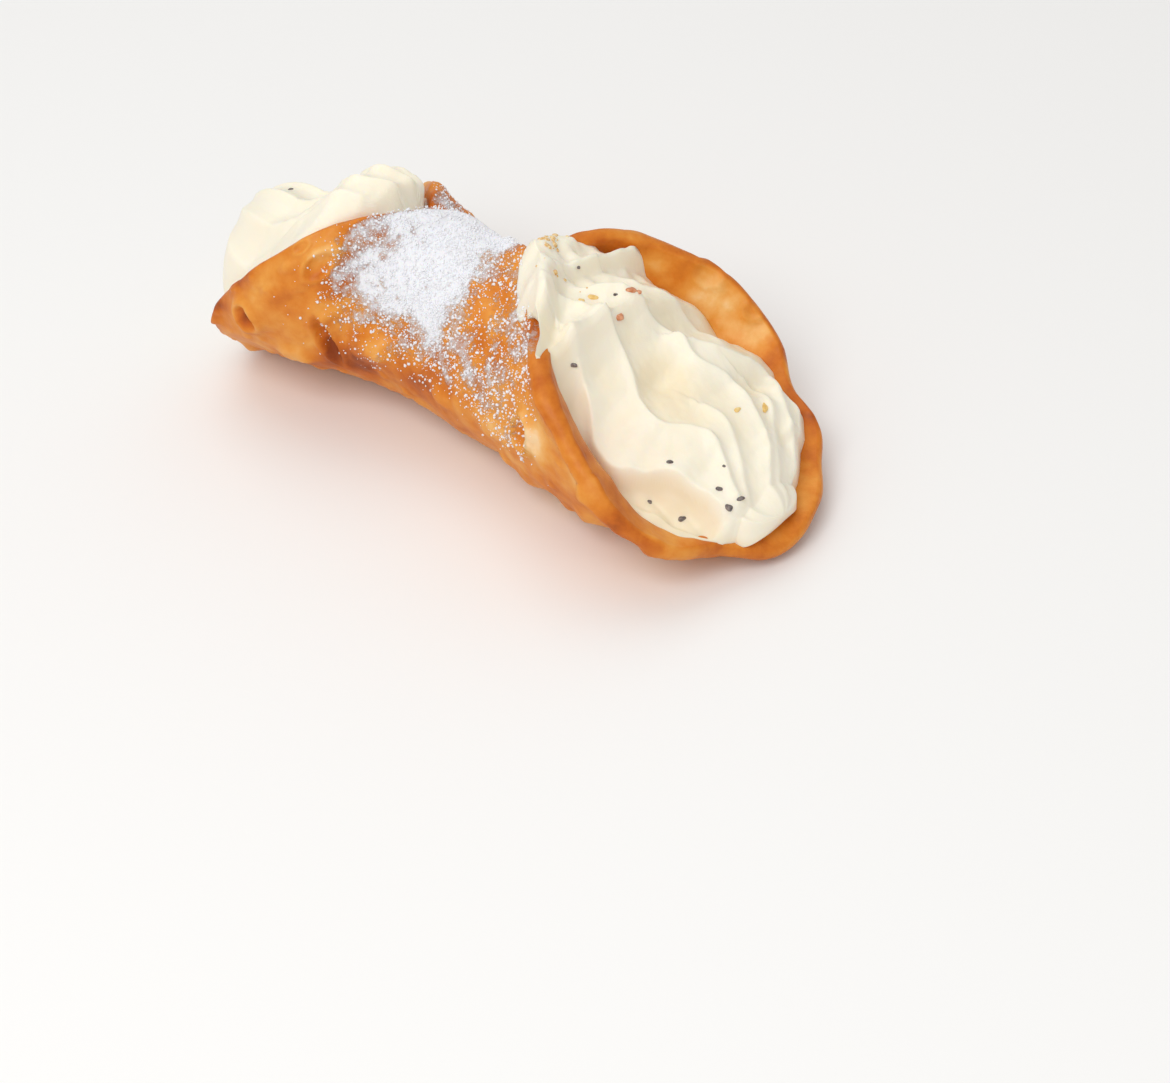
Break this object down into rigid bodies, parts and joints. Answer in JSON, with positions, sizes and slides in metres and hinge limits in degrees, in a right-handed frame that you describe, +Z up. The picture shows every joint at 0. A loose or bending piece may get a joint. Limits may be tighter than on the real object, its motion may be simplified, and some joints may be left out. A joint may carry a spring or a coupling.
{
  "type": "cannoli",
  "caption": "Cannolo: blistered fried dough tube flared at both ends, filled with piped ricotta cream with chocolate chips and candied peel, dusted with sugar.",
  "frame": {"origin": "middle of the bounding box's footprint, on the surface that the cannolo lies on", "axes": "+X along the tube towards the large front mouth, +Y to the far side, whose flap is tucked under at the lap, +Z up"},
  "size_m": [0.1136, 0.054, 0.0387],
  "materials": {
    "fried_dough": "golden brown deep-fried dough, blistered, darker at the rims, slightly oily, dusted with sugar over the waist",
    "ricotta_cream": "thick off-white ricotta cream, moist and slightly grainy"
  },
  "bodies": {
    "root": {"shell": "fried_dough", "cream": "ricotta_cream"}
  },
  "joints": []
}
